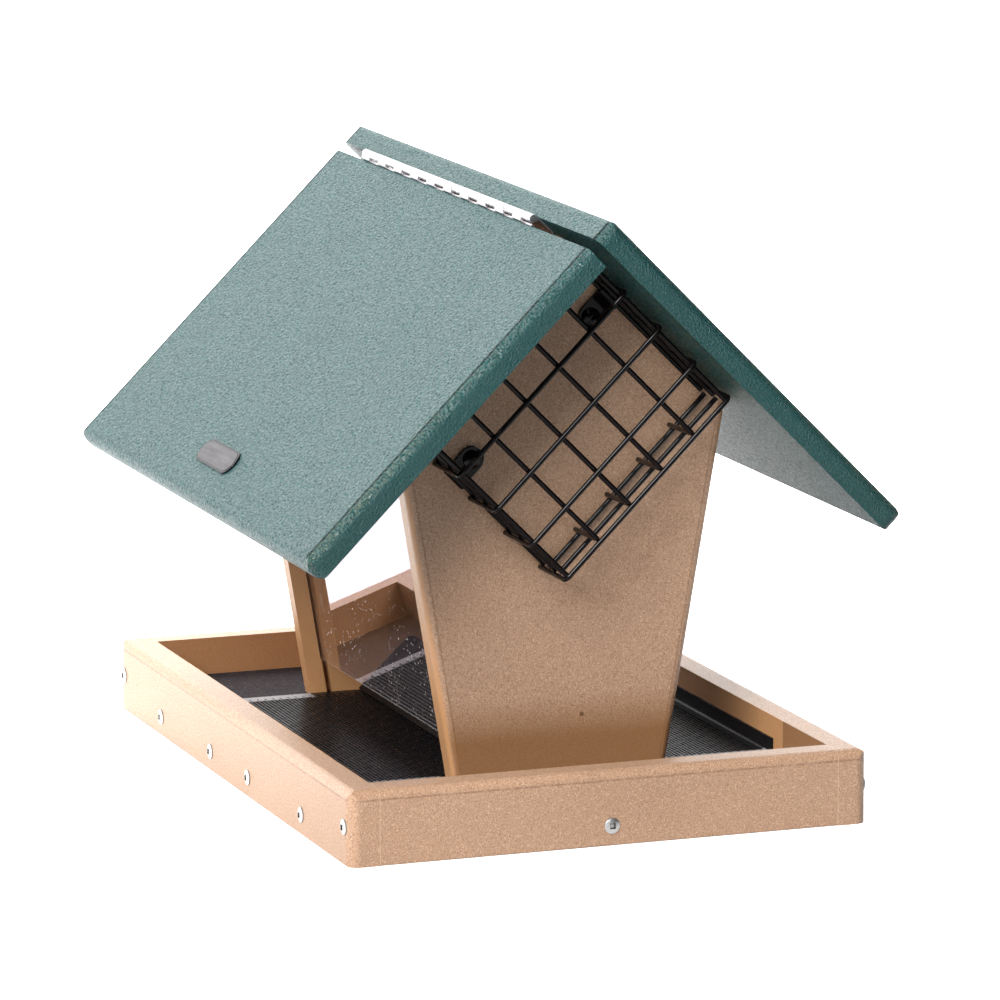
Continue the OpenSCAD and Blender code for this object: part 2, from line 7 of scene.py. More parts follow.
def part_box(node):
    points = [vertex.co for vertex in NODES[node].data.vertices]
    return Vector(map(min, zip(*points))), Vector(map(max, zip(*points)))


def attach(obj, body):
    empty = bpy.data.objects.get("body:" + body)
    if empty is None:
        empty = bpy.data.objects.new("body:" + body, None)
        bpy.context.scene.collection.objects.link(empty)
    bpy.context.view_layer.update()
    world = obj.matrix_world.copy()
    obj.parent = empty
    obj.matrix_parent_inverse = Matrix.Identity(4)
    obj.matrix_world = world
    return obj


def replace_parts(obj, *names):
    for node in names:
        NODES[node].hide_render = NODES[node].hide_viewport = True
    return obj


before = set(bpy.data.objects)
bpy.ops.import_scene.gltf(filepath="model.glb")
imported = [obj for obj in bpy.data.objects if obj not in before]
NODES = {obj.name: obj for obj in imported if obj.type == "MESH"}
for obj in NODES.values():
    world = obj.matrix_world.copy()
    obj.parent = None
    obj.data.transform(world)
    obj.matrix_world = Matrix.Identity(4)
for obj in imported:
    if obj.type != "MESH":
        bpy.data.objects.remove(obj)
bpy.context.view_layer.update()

MM = 0.001
SIN_45 = math.sqrt(0.5)

# Sizes read from the frame, in metres. The tray: half its outside with its height, and
# half its inside
TRAY_X, TRAY_Y, TRAY_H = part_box("tray_side_right")[1]
WALL_X, WALL_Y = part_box("tray_side_right")[0][0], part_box("tray_end_back")[0][1]
# The gables: how far both faces stand from the middle, and the floor under them
(_, GABLE_IN, FLOOR_TOP), (_, GABLE_OUT, _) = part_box("gable_back")
WINDOW_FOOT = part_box("window_left")[0][2]
# Half the roof's length, and the pan's half width, half length and lips' top
ROOF_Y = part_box("roof_lid")[1][1]
PAN_X, PAN_Y, PAN_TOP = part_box("seed_pan")[1]

# Sizes repeated from the part's source. The roundings of the tray's upper edges, of the
# gables' sides and of the roof's ends
TRAY_ROUND, GABLE_ROUND, RAKE_ROUND = 5 * MM, 4.5 * MM, 5 * MM
# Half the gables' foot, the lean of their sides, and how far inside the side a window
# enters its groove
FOOT_X, SIDE_LEAN, GROOVE_MOUTH = 56.5 * MM, math.radians(9.65), 9 * MM
# The roof panels' thickness, and the height where the planes of their undersides meet
PANEL_T, PEAK_H = 12.7 * MM, 292.3 * MM
# The pan's sheet, the bend of its lips, and where its plain ends begin, painted light as a highlight
PAN_T, LIP_BEND, PAN_END = 1 * MM, 2.5 * MM, 97 * MM


# Camera, at the photograph's viewing angle

CAMERA_AZ, CAMERA_EL, CAMERA_ROLL = -20.27, 10.89, 0.07
# Its place along its own right, up and back, in metres
CAMERA_SPOT = (0.0104, 0.1363, 3.33885)
SENSOR, LENS_IN_SENSORS = 36, 6.4379


def place_camera():
    az, el, roll = (math.radians(a) for a in (CAMERA_AZ, CAMERA_EL, CAMERA_ROLL))
    back = Vector((math.sin(az) * math.cos(el), -math.cos(az) * math.cos(el), math.sin(el)))
    right = (-back).cross(Vector((0, 0, 1))).normalized()
    up = right.cross(-back)
    spot = right * CAMERA_SPOT[0] + up * CAMERA_SPOT[1] + back * CAMERA_SPOT[2]
    across = right * math.cos(roll) + up * math.sin(roll)
    above = up * math.cos(roll) - right * math.sin(roll)
    data = bpy.data.cameras.new("camera")
    data.sensor_width = SENSOR
    data.lens = LENS_IN_SENSORS * SENSOR
    data.clip_end = 100
    cam = bpy.data.objects.new("camera", data)
    bpy.context.scene.collection.objects.link(cam)
    turn = Matrix((across, above, back)).transposed()
    cam.matrix_world = Matrix.Translation(spot) @ turn.to_4x4()
    bpy.context.scene.camera = cam


# Materials

# Each board's colour, its dark dots and its light flecks
TAN_BOARD = (0.445, 0.275, 0.174), (0.25, 0.138, 0.080), (0.68, 0.47, 0.33)
DARK_BOARD = (0.032, 0.027, 0.029), (0.012, 0.010, 0.011), (0.09, 0.08, 0.085)
GREEN_BOARD = (0.002, 0.053, 0.052), (0.001, 0.015, 0.015), (0.018, 0.120, 0.118)
SEAM_LIGHT = (0.62, 0.44, 0.29)
# Painted shade: warm browns for the shaded, bounced light inside the tray
HOPPER_SHADE, LOW_SHADE = (0.47, 0.235, 0.095), (0.245, 0.112, 0.041)
FLECK_DARK, GROOVE_DARK, PEAK_DARK = (0.035, 0.015, 0.008), (0.02, 0.01, 0.006), (0.02, 0.012, 0.008)
# The second colour is wear and a painted highlight on the roof's rounded ends
RAKE_DARK, RAKE_WORN_AND_LIT = (0.001, 0.006, 0.006), (0.075, 0.105, 0.060)
# The last colour is a painted highlight on the pan's plain ends
SHEET_BLACK, SHEET_GREY, SHEET_END_HIGHLIGHT = (0.005, 0.0045, 0.005), (0.011, 0.010, 0.011), (0.25, 0.235, 0.24)
WIRE_BLACK, WIRE_GREY = (0.0028, 0.0018, 0.0022), (0.006, 0.0042, 0.0048)
# Painted shade in the recesses of bare metal
HOLLOW_SHADE = (0.02, 0.019, 0.02)
# Noise scales per metre: the boards' speckle, the floor's coarser chips, and the
# cutter's dotted marks
SPECKLE, CHIPS, CUTTER = 1150, 700, 420
# Noise stretches: none, along the ridge for boards and for brushed metal, and upward
EVEN, ROLLED, BRUSHED, UPRIGHT = (1.0, 1.0, 1.0), (1.0, 0.5, 1.0), (1.0, 0.1, 1.0), (1.0, 1.0, 0.1)
CLEAR_IOR = 1.585


class Paint:
    """A material's node tree, with short ways to add nodes to it."""

    def __init__(self, name):
        self.mat = bpy.data.materials.new(name)
        self.mat.use_nodes = True
        self.nodes = self.mat.node_tree.nodes
        self.links = self.mat.node_tree.links
        self.shader = self.nodes["Principled BSDF"]
        self.out = self.nodes["Material Output"]
        self.coords = self.nodes.new("ShaderNodeTexCoord")

    def set(self, **values):
        for key, value in values.items():
            self.shader.inputs[key.replace("_", " ")].default_value = value

    def feed(self, socket, value):
        if isinstance(value, bpy.types.NodeSocket):
            self.links.new(value, socket)
        else:
            socket.default_value = value

    def place(self):
        node = self.nodes.new("ShaderNodeSeparateXYZ")
        self.links.new(self.coords.outputs["Object"], node.inputs["Vector"])
        return [node.outputs[k] for k in "XYZ"]

    def noise(self, scale, detail=2.0, rough=0.5, stretch=None):
        node = self.nodes.new("ShaderNodeTexNoise")
        node.inputs["Scale"].default_value = scale
        node.inputs["Detail"].default_value = detail
        node.inputs["Roughness"].default_value = rough
        source = self.coords.outputs["Object"]
        if stretch:
            place = self.nodes.new("ShaderNodeMapping")
            place.inputs["Scale"].default_value = stretch
            self.links.new(source, place.inputs["Vector"])
            source = place.outputs["Vector"]
        self.links.new(source, node.inputs["Vector"])
        return node.outputs["Fac"]

    def cells(self, scale):
        """How far a point lies from the middle of its cell, in cells."""
        node = self.nodes.new("ShaderNodeTexVoronoi")
        node.inputs["Scale"].default_value = scale
        self.links.new(self.coords.outputs["Object"], node.inputs["Vector"])
        return node.outputs["Distance"]

    def ramp(self, value, low, high, lo=0.0, hi=1.0):
        """From lo where the value is low to hi where it is high."""
        node = self.nodes.new("ShaderNodeMapRange")
        node.inputs["From Min"].default_value = low
        node.inputs["From Max"].default_value = high
        node.inputs["To Min"].default_value = lo
        node.inputs["To Max"].default_value = hi
        self.links.new(value, node.inputs["Value"])
        return node.outputs["Result"]

    def maths(self, kind, a, b=0.0):
        node = self.nodes.new("ShaderNodeMath")
        node.operation = kind
        self.feed(node.inputs[0], a)
        self.feed(node.inputs[1], b)
        return node.outputs["Value"]

    def times(self, *values):
        out = values[0]
        for value in values[1:]:
            out = self.maths("MULTIPLY", out, value)
        return out

    def band(self, value, middle, half, soft):
        """1 within half of the middle, falling to 0 over soft."""
        away = self.maths("ABSOLUTE", self.maths("SUBTRACT", value, middle))
        return self.ramp(away, half, half + soft, 1.0, 0.0)

    def mix(self, fac, a, b):
        node = self.nodes.new("ShaderNodeMix")
        node.data_type = "RGBA"
        self.feed(node.inputs["Factor"], fac)
        for key, value in (("A", a), ("B", b)):
            socket = next(s for s in node.inputs if s.name == key and s.type == "RGBA")
            self.feed(socket, (*value, 1) if isinstance(value, tuple) else value)
        return next(s for s in node.outputs if s.type == "RGBA")

    def colour(self, value):
        self.links.new(value, self.shader.inputs["Base Color"])

    def roughness(self, value):
        self.links.new(value, self.shader.inputs["Roughness"])

    def sheen(self, value):
        self.links.new(value, self.shader.inputs["Specular IOR Level"])

    def bump(self, height, distance, strength):
        node = self.nodes.new("ShaderNodeBump")
        node.inputs["Distance"].default_value = distance
        node.inputs["Strength"].default_value = strength
        self.links.new(height, node.inputs["Height"])
        self.links.new(node.outputs["Normal"], self.shader.inputs["Normal"])


def lumber(p, tones, amount, rough, grain, stretch=None):
    """Recycled plastic board: a fine speckle over a slow drift of tone, and an orange-peel
    skin. Returns the colour and the skin's height."""
    base, dark, light = tones
    drift = p.ramp(p.noise(9, 3, 0.55), 0.3, 0.7)
    tone = p.mix(p.times(drift, 0.25), base, dark)
    dots = p.ramp(p.noise(grain, 2, 0.6, stretch), 0.46, 0.66)
    tone = p.mix(p.times(dots, amount), tone, dark)
    flecks = p.ramp(p.noise(grain * 1.3, 2, 0.6, stretch), 0.54, 0.72)
    tone = p.mix(p.times(flecks, amount), tone, light)
    wear = p.noise(grain * 0.6, 2, 0.5, stretch)
    p.roughness(p.ramp(wear, 0.3, 0.7, rough - 0.08, rough + 0.08))
    skin = p.maths("ADD", p.noise(grain * 0.7, 2, 0.5, stretch), p.times(dots, 0.3))
    return tone, skin


def cut_lines(p, far_x, far_y, z, inward):
    """Where the tray walls' upper rounding and the gables' side rounding start."""
    level = p.band(z, TRAY_H - TRAY_ROUND, 0.35 * MM, 0.25 * MM)
    outside = p.maths("MAXIMUM", p.ramp(far_y, TRAY_Y - 0.6 * MM, TRAY_Y - 0.3 * MM),
                      p.ramp(far_x, TRAY_X - 0.6 * MM, TRAY_X - 0.3 * MM))
    on_face = p.ramp(far_y, GABLE_OUT - 0.4 * MM, GABLE_OUT - 0.2 * MM)
    not_tray = p.ramp(far_y, GABLE_OUT + 1 * MM, GABLE_OUT + 2 * MM, 1.0, 0.0)
    side = p.times(p.band(inward, GABLE_ROUND, 0.35 * MM, 0.25 * MM), on_face, not_tray)
    return p.maths("MAXIMUM", p.times(level, outside), side)


def paint_tray_shade(p, tone, far_x, far_y, z):
    """Painted shade: orange brown between the gables, and deeper on what stands low outside them."""
    beside = 0.3 * MM
    in_tray = p.times(p.ramp(far_x, WALL_X + beside, WALL_X + 2 * beside, 1.0, 0.0),
                      p.ramp(far_y, WALL_Y + beside, WALL_Y + 2 * beside, 1.0, 0.0))
    inner = p.ramp(far_y, GABLE_OUT - 1.5 * MM, GABLE_OUT - 0.5 * MM, 1.0, 0.0)
    tone = p.mix(p.times(inner, in_tray, 0.85), tone, HOPPER_SHADE)
    low = p.times(p.ramp(z, 40 * MM, 62 * MM, 1.0, 0.0), p.maths("SUBTRACT", 1.0, inner))
    return p.mix(p.times(low, in_tray, 0.85), tone, LOW_SHADE)


def board_paint():
    """Tan boards, with the cutter's dotted lines where the roundings start."""
    p = Paint("tan_board")
    x, y, z = p.place()
    far_x, far_y = p.maths("ABSOLUTE", x), p.maths("ABSOLUTE", y)
    # The way in from a gable's leaning side
    rise = p.times(p.maths("SUBTRACT", z, FLOOR_TOP), math.tan(SIDE_LEAN))
    inward = p.maths("ADD", p.maths("SUBTRACT", FOOT_X, far_x), rise)
    inward = p.times(inward, math.cos(SIDE_LEAN))

    tone, skin = lumber(p, TAN_BOARD, 0.85, 0.40, SPECKLE)
    line = cut_lines(p, far_x, far_y, z, inward)
    dots = p.ramp(p.noise(CUTTER, 2, 0.7), 0.40, 0.56)
    tone = p.mix(p.times(line, p.ramp(dots, 0.0, 1.0, 0.35, 1.0), 0.8), tone, TAN_BOARD[1])
    # The pale seam between a side wall's end and the front or back wall
    seam = p.times(p.band(far_x, WALL_X, 0.1 * MM, 0.15 * MM),
                   p.ramp(far_y, WALL_Y + 1 * MM, WALL_Y + 2 * MM))
    tone = p.mix(p.times(seam, 0.6), tone, SEAM_LIGHT)
    # A dark fleck low on the front gable
    fleck = p.times(p.band(x, 10.9 * MM, 0.7 * MM, 0.7 * MM),
                    p.band(z, 50.5 * MM, 0.6 * MM, 0.7 * MM),
                    p.ramp(y, -GABLE_OUT + 0.3 * MM, -GABLE_OUT + 0.2 * MM),
                    p.ramp(y, -GABLE_OUT - 2 * MM, -GABLE_OUT - 1 * MM))
    tone = p.mix(fleck, tone, FLECK_DARK)
    # Painted shade inside the tray, deeper low outside the gables
    tone = paint_tray_shade(p, tone, far_x, far_y, z)
    # The dark line where a window enters its groove
    mouth = p.times(p.band(inward, GROOVE_MOUTH, 0.3 * MM, 0.15 * MM),
                    p.ramp(z, WINDOW_FOOT, WINDOW_FOOT + 1 * MM),
                    p.ramp(far_y, GABLE_IN + 0.1 * MM, GABLE_IN + 0.3 * MM, 1.0, 0.0))
    tone = p.mix(p.times(mouth, 0.9), tone, GROOVE_DARK)
    # The gables' peaks lie in the dark under the ridge gap
    tone = p.mix(p.ramp(z, PEAK_H - 9 * MM, PEAK_H - 6 * MM, 0.0, 0.9), tone, PEAK_DARK)
    p.colour(tone)
    p.bump(p.maths("SUBTRACT", skin, p.times(line, dots, 0.8)), 0.3 * MM, 0.35)
    p.set(Specular_IOR_Level=0.60)
    return p.mat


def floor_paint():
    p = Paint("dark_board")
    tone, skin = lumber(p, DARK_BOARD, 0.5, 0.55, CHIPS)
    p.colour(tone)
    p.bump(skin, 0.4 * MM, 0.35)
    p.set(Specular_IOR_Level=0.01)
    return p.mat


def roof_paint():
    """Green boards: stretched along the ridge, with a band of wear and painted highlight on the
    rounded ends.
    """
    p = Paint("green_board")
    x, y, z = p.place()
    far_x, far_y = p.maths("ABSOLUTE", x), p.maths("ABSOLUTE", y)
    start = ROOF_Y - RAKE_ROUND
    # The sawn end faces are plainer than the broad faces
    upper = p.ramp(far_y, ROOF_Y - 1.0 * MM, ROOF_Y - 0.2 * MM, 1.0, 0.25)
    tone, skin = lumber(p, GREEN_BOARD, p.times(upper, 0.95), 0.44, SPECKLE, ROLLED)

    # The cutter's line where the rounding starts; outer is the way out from the underside
    outer = p.times(p.maths("ADD", p.maths("SUBTRACT", z, PEAK_H), far_x), SIN_45)
    dots = p.ramp(p.noise(CUTTER, 2, 0.7), 0.42, 0.58)
    line = p.times(p.band(far_y, start, 1.0 * MM, 0.4 * MM),
                   p.ramp(outer, PANEL_T - 0.6 * MM, PANEL_T - 0.3 * MM))
    tone = p.mix(p.times(line, p.ramp(dots, 0.0, 1.0, 0.5, 1.0)), tone, RAKE_DARK)

    # Wear and a painted highlight on the rounding, where it catches the light, more of both toward the
    # eaves
    worn_and_lit = p.times(p.ramp(far_y, start, start + 0.6 * MM),
                   p.ramp(far_y, ROOF_Y - 0.8 * MM, ROOF_Y - 0.1 * MM, 1.0, 0.0),
                   p.ramp(outer, PANEL_T - RAKE_ROUND, PANEL_T - 0.7 * RAKE_ROUND),
                   p.ramp(p.noise(520, 3, 0.7), 0.44, 0.62),
                   p.ramp(z, 0.26, 0.14, 0.15, 1.0))
    tone = p.mix(p.times(worn_and_lit, 0.7), tone, RAKE_WORN_AND_LIT)

    p.colour(tone)
    p.bump(skin, 0.8 * MM, 1.0)
    # The speckle also shows in the sheen, round a level of 0.55
    glint = p.ramp(p.noise(950, 2, 0.6, (1.0, 0.6, 1.0)), 0.33, 0.67)
    glint = p.maths("ADD", p.times(p.maths("SUBTRACT", glint, 0.5), upper), 0.55)
    p.sheen(p.times(glint, p.ramp(line, 0.0, 1.0, 1.0, 0.1)))
    return p.mat


def sheet_paint():
    p = Paint("black_sheet")
    x, y, z = p.place()
    tone = p.mix(p.ramp(p.noise(900, 2), 0.35, 0.7), SHEET_BLACK, SHEET_GREY)
    # Painted highlight: the plain strips at both ends are painted lighter, as they catch more light
    ends = p.times(p.ramp(p.maths("ABSOLUTE", y), PAN_END - 0.5 * MM, PAN_END),
                   p.ramp(z, FLOOR_TOP + 1.5 * MM, FLOOR_TOP + 1.8 * MM, 0.8, 0.0),
                   p.ramp(p.maths("ABSOLUTE", x), FOOT_X, FOOT_X + 1 * MM))
    p.colour(p.mix(ends, tone, SHEET_END_HIGHLIGHT))
    p.roughness(p.ramp(p.noise(260, 3), 0.3, 0.7, 0.26, 0.40))
    p.set(Specular_IOR_Level=0.06)
    p.bump(p.noise(1300, 2), 0.1 * MM, 0.25)
    return p.mat


def wire_paint():
    p = Paint("black_wire")
    p.colour(p.mix(p.ramp(p.noise(700, 2), 0.4, 0.7), WIRE_BLACK, WIRE_GREY))
    p.roughness(p.ramp(p.noise(240, 2), 0.3, 0.7, 0.05, 0.09))
    p.bump(p.noise(300, 2), 0.06 * MM, 0.15)
    p.set(Specular_IOR_Level=0.20)
    return p.mat


def metal_paint(name, base, rough, brushed, hollow=None, deep=0.30, open_from=0.70):
    """Bare metal, with painted shade in recesses of about the size hollow: quite dark where
    less than deep of the sky is open, and bare again from open_from."""
    p = Paint(name)
    streaks = p.noise(500, 3, 0.6, brushed)
    tone = p.mix(p.ramp(streaks, 0.3, 0.7), base, tuple(0.86 * c for c in base))
    # Painted shade, from how much of the sky a point sees
    if hollow:
        sky = p.nodes.new("ShaderNodeAmbientOcclusion")
        sky.samples = 8
        sky.inputs["Distance"].default_value = hollow
        shade = p.ramp(sky.outputs["AO"], deep, open_from, 1.0, 0.0)
        tone = p.mix(shade, tone, HOLLOW_SHADE)
    p.colour(tone)
    p.roughness(p.ramp(streaks, 0.3, 0.7, rough - 0.06, rough + 0.08))
    p.bump(streaks, 0.06 * MM, 0.3)
    p.set(Metallic=1.0)
    return p.mat


def clear_paint():
    """Clear sheet: mirrors more at a glance, with specks and fine scratches low down."""
    p = Paint("clear_sheet")
    p.nodes.remove(p.shader)
    z = p.place()[2]
    clear = p.nodes.new("ShaderNodeBsdfTransparent")
    clear.inputs["Color"].default_value = (0.97, 0.95, 0.94, 1)
    gloss = p.nodes.new("ShaderNodeBsdfGlossy")
    gloss.inputs["Color"].default_value = (1.0, 0.93, 1.0, 1)
    gloss.inputs["Roughness"].default_value = 0.02
    # Only the face that a ray enters mirrors, as much as both faces do together
    edge = p.nodes.new("ShaderNodeFresnel")
    edge.inputs["IOR"].default_value = CLEAR_IOR
    one = edge.outputs["Fac"]
    both = p.maths("DIVIDE", p.times(one, 2.0), p.maths("ADD", one, 1.0))
    side = p.nodes.new("ShaderNodeNewGeometry").outputs["Backfacing"]
    entered = p.maths("SUBTRACT", 1.0, side)
    # The narrow lower face mirrors nothing
    above = p.ramp(z, WINDOW_FOOT + 0.48 * MM, WINDOW_FOOT + 0.52 * MM)
    film = p.nodes.new("ShaderNodeMixShader")
    p.links.new(p.times(both, above, entered), film.inputs["Fac"])
    p.links.new(clear.outputs["BSDF"], film.inputs[1])
    p.links.new(gloss.outputs["BSDF"], film.inputs[2])

    dust = p.nodes.new("ShaderNodeBsdfDiffuse")
    dust.inputs["Color"].default_value = (0.75, 0.70, 0.68, 1)
    specks = p.times(p.ramp(p.cells(330), 0.12, 0.20, 1.0, 0.0), p.ramp(p.noise(45, 2), 0.44, 0.56))
    scratches = p.ramp(p.noise(90, 4, 0.75, UPRIGHT), 0.62, 0.78)
    low = p.ramp(z, 0.150, 0.07)
    amount = p.times(p.maths("MAXIMUM", p.times(specks, 0.75), p.times(scratches, 0.3)), low)
    # A pale line along the foot, and next to no haze over it
    haze = p.ramp(z, WINDOW_FOOT + 0.8 * MM, WINDOW_FOOT + 1.2 * MM, 0.22, 0.002)
    whole = p.nodes.new("ShaderNodeMixShader")
    p.links.new(p.maths("MAXIMUM", amount, p.times(haze, above)), whole.inputs["Fac"])
    p.links.new(film.outputs["Shader"], whole.inputs[1])
    p.links.new(dust.outputs["BSDF"], whole.inputs[2])
    p.links.new(whole.outputs["Shader"], p.out.inputs["Surface"])
    return p.mat


def paint(names, mat):
    for name in names:
        mesh = NODES[name].data
        mesh.materials.clear()
        mesh.materials.append(mat)


# Pieces that the solids lack or show more plainly

def add_piece(name, bm, mat, body):
    """A piece from a bmesh whose faces already point outward."""
    mesh = bpy.data.meshes.new(name)
    bm.to_mesh(mesh)
    bm.free()
    obj = bpy.data.objects.new(name, mesh)
    bpy.context.scene.collection.objects.link(obj)
    mesh.materials.append(mat)
    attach(obj, body)
    return obj


def add_sheet(name, bm, mat):
    """A piece of black sheet from the faces of its upper side."""
    bmesh.ops.recalc_face_normals(bm, faces=bm.faces)
    if sum(f.normal.z for f in bm.faces) < 0:
        bmesh.ops.reverse_faces(bm, faces=bm.faces)
    obj = add_piece(name, bm, mat, "body")
    thick = obj.modifiers.new("thick", "SOLIDIFY")
    thick.thickness = PAN_T
    thick.offset = -1
    return obj


class PanSheet:
    """The seed pan's upper side: a field of six-cornered holes, the plain strips round it
    and the lips. Row i runs along Y, and odd rows stand half a pitch further back."""

    ROW, PITCH = 2.1 * MM, 3.2 * MM
    # A hole's half width at its tips and at its middle, and its half length
    TIP, MIDDLE, REACH = 0.42 * MM, 0.72 * MM, 1.32 * MM
    SPOTS = [(MIDDLE, 0), (TIP, REACH), (-TIP, REACH),
             (-MIDDLE, 0), (-TIP, -REACH), (TIP, -REACH)]
    # The least plain sheet beside and behind the field
    RIM_X, RIM_Y = 2 * MM, 4 * MM

    def __init__(self):
        self.bm = bmesh.new()
        self.made = {}
        self.top = FLOOR_TOP + PAN_T
        # Where the lips' bend starts, and the edge that the side strips end on
        self.flat = PAN_X - LIP_BEND
        self.edge = self.flat - 1 * MM
        self.rows = 2 * int((self.edge - self.RIM_X) / (2 * self.ROW))
        self.last = int((PAN_Y - self.RIM_Y - self.REACH) / self.PITCH)
        self.field()
        self.ends()
        self.sides()
        self.lips()

    def vert(self, x, y):
        key = (round(x * 1e6), round(y * 1e6))
        if key not in self.made:
            self.made[key] = self.bm.verts.new((x, y, self.top))
        return self.made[key]

    def corner(self, i, j, k):
        """Corner k of hole j in row i."""
        dx, dy = self.SPOTS[k]
        return self.vert(i * self.ROW + dx, (j + 0.5 * (i % 2)) * self.PITCH + dy)

    def has(self, i, j):
        return -self.rows <= i <= self.rows and -self.last <= j <= (self.last - i % 2)

    def face(self, *corners):
        self.bm.faces.new(corners)

    def field(self):
        at, has, face = self.corner, self.has, self.face
        for i in range(-self.rows, self.rows + 1):
            odd = i % 2
            for j in range(-self.last, self.last - odd + 1):
                up, down = (i + 1, j + odd), (i + 1, j + odd - 1)
                # Every other row ends one hole earlier, which leaves a comb
                if odd and j in (-self.last, self.last - 1):
                    face(*[at(i, j, k) for k in range(6)])
                if has(i, j + 1):
                    face(at(i, j, 2), at(i, j, 1), at(i, j + 1, 5), at(i, j + 1, 4))
                if has(*up):
                    face(at(i, j, 0), at(*up, 4), at(*up, 3), at(i, j, 1))
                    if has(i, j + 1):
                        face(at(i, j, 1), at(*up, 3), at(i, j + 1, 5))
                if has(*down):
                    face(at(i, j, 5), at(*down, 3), at(*down, 2), at(i, j, 0))
                    if has(*up):
                        face(at(i, j, 0), at(*down, 2), at(*up, 4))

    def ends(self):
        """The plain strips across both ends of the field."""
        at, vert, face = self.corner, self.vert, self.face
        last, row, tip = self.last, self.ROW, self.TIP
        for end, j, odd_j, a, b in ((1, last, last - 1, 1, 2), (-1, -last, -last, 5, 4)):
            y = end * PAN_Y
            for i in range(-self.rows, self.rows + 1, 2):
                x = i * row
                face(at(i, j, b), at(i, j, a), vert(x + tip, y), vert(x - tip, y))
                if i < self.rows:
                    face(at(i, j, a), at(i, j, 0), at(i + 1, odd_j, b), at(i + 1, odd_j, a),
                         at(i + 2, j, 3), at(i + 2, j, b),
                         vert(x + 2 * row - tip, y), vert(x + tip, y))

    def sides(self):
        """The plain strips along both sides of the field."""
        at, vert, face = self.corner, self.vert, self.face
        last, pitch, reach = self.last, self.PITCH, self.REACH
        for side, i, low, mid, high in ((1, self.rows, 5, 0, 1), (-1, -self.rows, 4, 3, 2)):
            x = side * self.edge
            for j in range(-last, last + 1):
                y = j * pitch
                face(at(i, j, low), at(i, j, mid), at(i, j, high),
                     vert(x, y + reach), vert(x, y - reach))
                if j < last:
                    face(at(i, j, high), at(i, j + 1, low),
                         vert(x, y + pitch - reach), vert(x, y + reach))
            for end, k in ((1, high), (-1, low)):
                face(at(i, end * last, k), vert(x, end * (last * pitch + reach)),
                     vert(x, end * PAN_Y), vert(i * self.ROW + side * self.TIP, end * PAN_Y))

    def lips(self):
        """The flat strips beside the side strips, and the lips that bend up from them."""
        inner = LIP_BEND - PAN_T
        turns = [math.radians(15 * k) for k in range(1, 7)]
        profile = [(self.flat + inner * math.sin(a), self.top + inner * (1 - math.cos(a)))
                   for a in turns]
        profile.append((self.flat + inner, PAN_TOP))
        for side in (1, -1):
            x = side * self.edge
            chain = [self.vert(x, -PAN_Y)]
            for j in range(-self.last, self.last + 1):
                y = j * self.PITCH
                chain += [self.vert(x, y - self.REACH), self.vert(x, y + self.REACH)]
            chain.append(self.vert(x, PAN_Y))
            line = [self.vert(side * self.flat, -PAN_Y), self.vert(side * self.flat, PAN_Y)]
            self.face(*chain, line[1], line[0])
            for out, z in profile:
                line += [self.bm.verts.new((side * out, y, z)) for y in (-PAN_Y, PAN_Y)]
            for k in range(0, len(line) - 2, 2):
                self.face(line[k], line[k + 1], line[k + 3], line[k + 2])


def make_pan(mat):
    """The seed pan: one bent sheet with its fine holes, in place of the solid."""
    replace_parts(add_sheet("pan_sheet", PanSheet().bm, mat), "seed_pan")


def make_ridge(mat):
    """The seed ridge: a sheet folded to a roof that stands on the pan between the gables."""
    half_w, high, bend = 29 * MM, 27 * MM, 4 * MM
    lean = math.atan2(high, half_w)
    # Its inner edges stand on the pan, a sheet's thickness inside its outer face
    foot = FLOOR_TOP + PAN_T + PAN_T * math.cos(lean)
    # The fold's arc touches both slopes, and its top is the ridge
    middle = FLOOR_TOP + PAN_T + high - bend
    arc = [(bend * math.sin(a), middle + bend * math.cos(a))
           for a in (lean * k / 6 for k in range(-6, 7))]
    drop = (arc[-1][1] - foot) / math.tan(lean)
    line = [(arc[0][0] - drop, foot)] + arc + [(arc[-1][0] + drop, foot)]
    bm = bmesh.new()
    near, far = ([bm.verts.new((x, y, z)) for x, z in line] for y in (-PAN_Y, PAN_Y))
    for k in range(len(line) - 1):
        bm.faces.new((near[k], near[k + 1], far[k + 1], far[k]))
    add_sheet("pan_ridge", bm, mat)


# The lid's plate: a plain bow-ended plate with a dark rim

# Its middle, down the lid and along the ridge
PLATE_S, PLATE_Y = 185.7 * MM, 1.3 * MM
RIM_H, FACE_H = 0.9 * MM, 0.25 * MM


def lid_point(s, y, t):
    """The point s down the lid from the ridge and t out from its underside."""
    return Vector((-(s + t) * SIN_45, y, PEAK_H + (t - s) * SIN_45))


def plate_outline(half_s, half_y, bow, corner):
    """Points round a rectangle whose ends along the ridge bow outwards."""
    points = []
    for end in (1, -1):
        for k in range(13):
            a = -1 + 2 * k / 12
            s = end * -a * half_s
            edge = half_y + bow * (1 - a * a)
            soften = corner * max(0.0, abs(a) - 0.8) / 0.2
            points.append((s, end * (edge - soften)))
    return points


